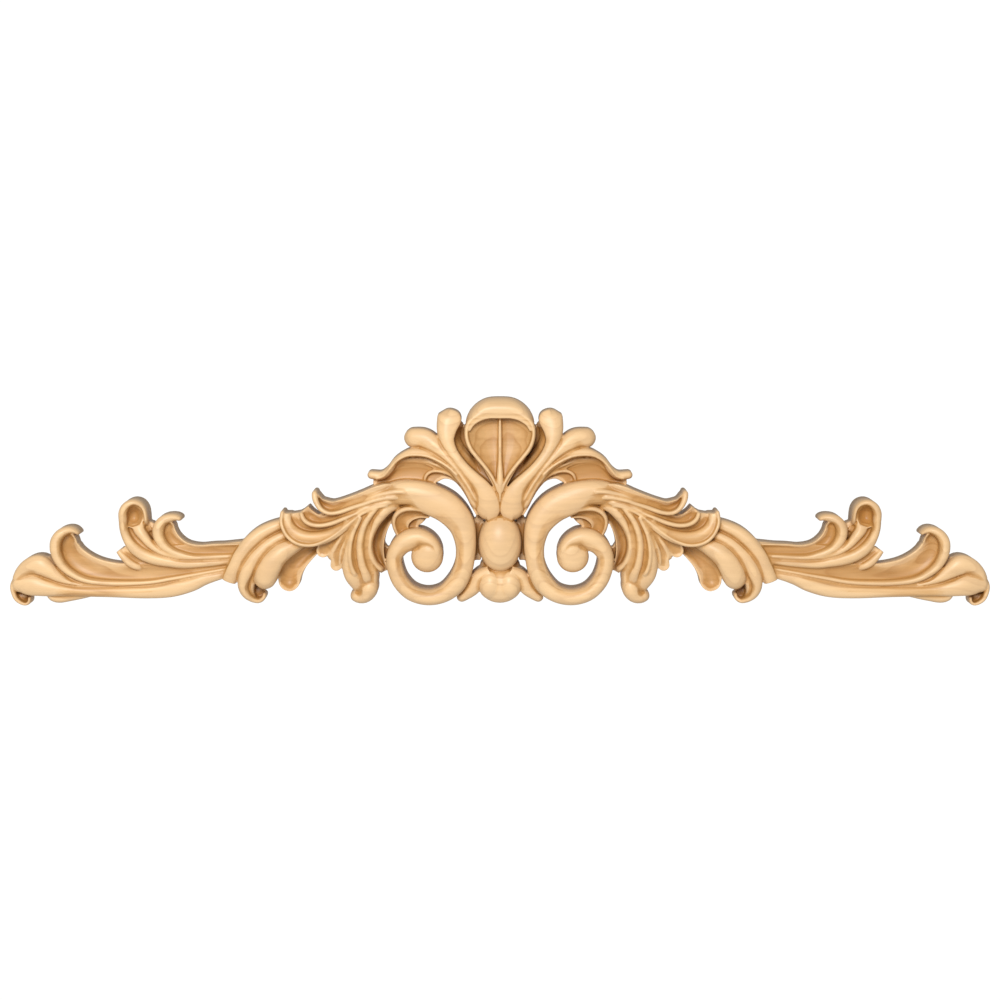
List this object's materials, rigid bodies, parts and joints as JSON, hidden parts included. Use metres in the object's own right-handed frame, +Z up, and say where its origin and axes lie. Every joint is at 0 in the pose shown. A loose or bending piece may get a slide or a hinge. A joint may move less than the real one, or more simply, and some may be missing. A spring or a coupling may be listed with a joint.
{
  "type": "carved wood onlay",
  "caption": "Carved wood onlay with a flat back: a shell over an egg, pierced C-scrolls with round eyes, acanthus leaves and long leafy arms with curled ends.",
  "frame": {"origin": "on the flat back, on the centreline and at half the height", "axes": "+X along the length, to the right as the onlay is seen from the front; +Y out of the back, into the surface it is fixed to; +Z up; the carving faces -Y"},
  "size_m": [0.6102, 0.028, 0.13],
  "materials": {
    "wood": "pale honey hardwood, smooth, thin clear satin finish"
  },
  "bodies": {
    "root": {"onlay": "wood"}
  },
  "joints": []
}
